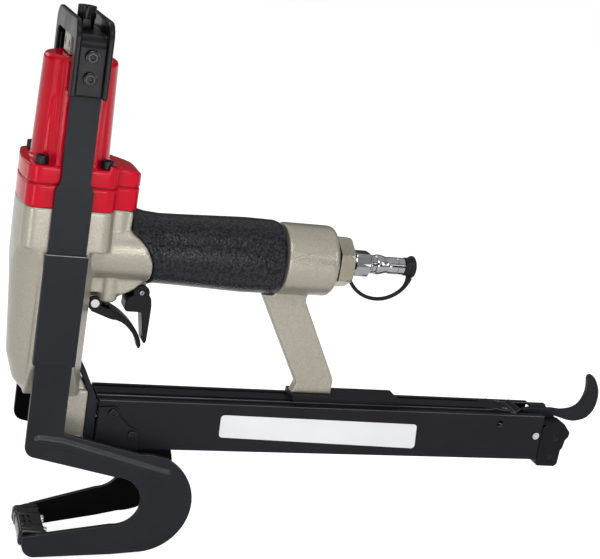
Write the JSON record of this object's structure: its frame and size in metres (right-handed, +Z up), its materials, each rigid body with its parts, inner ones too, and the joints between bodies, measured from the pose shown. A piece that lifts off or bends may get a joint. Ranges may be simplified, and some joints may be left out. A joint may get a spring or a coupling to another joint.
{
  "type": "pneumatic plier stapler",
  "caption": "Pneumatic carton stapler with a pistol body, long magazine and cylinder-lifted C-shaped clinching arms under the nose.",
  "frame": {"origin": "staple exit: centre of the nose's lower face, on the driver's axis", "axes": "+Z up along the driver, +X to the rear along the handle and magazine, +Y to the far side"},
  "size_m": [0.3882, 0.0704, 0.3145],
  "materials": {
    "enamel_red": "gloss red enamel on cast aluminium",
    "cast_beige": "satin champagne paint on cast aluminium",
    "black_steel": "satin black oxide and paint",
    "black_screw": "black oxide",
    "rubber": "fine-grained matte",
    "black_block": "moulded, satin",
    "bronze": "dull khaki",
    "bright_steel": "bright plated",
    "alu_piston": "turned",
    "steel_liner": "honed"
  },
  "bodies": {
    "frame": {"body_casting": "cast_beige", "head_base": "enamel_red", "head_gasket": "rubber", "head_cap": "enamel_red", "head_screws": "black_screw", "rod_bush": "bronze", "driver_cylinder": "steel_liner", "cylinder_seals": "rubber", "driver_bumper": "rubber", "handle_grip": "rubber", "inlet_cap": "bronze", "inlet_seal": "rubber", "air_plug": "bright_steel", "cap_tether": "rubber", "left_guide": "black_steel", "right_guide": "black_steel", "trigger_valve": "bronze", "trigger_pin": "bright_steel", "lock_pin": "bright_steel", "nose_front": "black_steel", "nose_guide": "black_steel", "nose_screws": "black_screw", "nose_plate": "black_steel", "magazine_rail": "black_steel", "rail_bracket": "black_steel", "strut_screws": "black_screw", "clinch_spring": "bright_steel", "valve_spring": "bright_steel"},
    "clinch_arms": {"yoke": "black_steel", "yoke_screws": "black_screw", "adjusting_screw": "black_screw", "lock_nut": "black_steel", "rod_end": "cast_beige", "piston_rod": "bright_steel", "clinch_piston": "alu_piston", "clinch_seal": "rubber", "left_arm": "black_steel", "right_arm": "black_steel", "anvil": "black_steel"},
    "driver": {"driver_piston": "alu_piston", "driver_seal": "rubber", "driver_blade": "bright_steel"},
    "trigger": {"trigger": "black_steel"},
    "valve_stem": {"valve_stem": "black_screw"},
    "lock_lever": {"lock_lever": "black_steel"},
    "magazine": {"magazine_box": "black_steel", "magazine_wings": "black_steel", "wing_screws": "black_screw", "staple_core": "bright_steel", "end_block": "black_block", "latch_pin": "bright_steel", "pusher_rod": "bright_steel", "pusher_spring": "bright_steel"},
    "pusher": {"pusher": "bright_steel"},
    "latch": {"latch_lever": "black_steel"},
    "dust_cap": {"dust_cap": "rubber"}
  },
  "joints": [
    {"name": "clinch_slide", "type": "slide", "parent": "frame", "child": "clinch_arms", "axis": [0, 0, 1], "range_m": [0, 0.036], "stiffness_N_per_m": 1500, "springref_m": -0.04, "deforming": ["clinch_spring"]},
    {"name": "driver_slide", "type": "slide", "parent": "frame", "child": "driver", "axis": [0, 0, -1], "range_m": [0, 0.045]},
    {"name": "trigger_pull", "type": "hinge", "parent": "frame", "child": "trigger", "pos_m": [0.0223, 0, 0.0918], "axis": [0, -1, 0], "range_deg": [0, 7], "stiffness_Nm_per_rad": 0.4, "springref_deg": -8.59},
    {"name": "valve_press", "type": "slide", "parent": "frame", "child": "valve_stem", "axis": [0, 0, 1], "range_m": [0, 0.0011], "deforming": ["valve_spring"]},
    {"name": "lock_turn", "type": "hinge", "parent": "frame", "child": "lock_lever", "pos_m": [0.0489, 0, 0.0985], "axis": [0, -1, 0], "range_deg": [0, 9.5]},
    {"name": "magazine_slide", "type": "slide", "parent": "frame", "child": "magazine", "axis": [1, 0, 0], "range_m": [0, 0.19]},
    {"name": "pusher_slide", "type": "slide", "parent": "magazine", "child": "pusher", "axis": [1, 0, 0], "range_m": [0, 0.15], "stiffness_N_per_m": 40, "springref_m": -0.15, "deforming": ["pusher_spring"]},
    {"name": "latch_lift", "type": "hinge", "parent": "magazine", "child": "latch", "pos_m": [0.3145, 0, 0.0225], "axis": [0, -1, 0], "range_deg": [0, 9], "stiffness_Nm_per_rad": 0.5, "springref_deg": -11.46},
    {"name": "cap_swing", "type": "hinge", "parent": "frame", "child": "dust_cap", "pos_m": [0.20835, 0, 0.10826], "axis": [0, 1, 0], "range_deg": [0, 120]}
  ],
  "couplings": [
    {"joint": "valve_press", "follows": "trigger_pull", "m_per_rad": 0.0085},
    {"joint": "lock_turn", "follows": "trigger_pull", "ratio": 1.35}
  ]
}
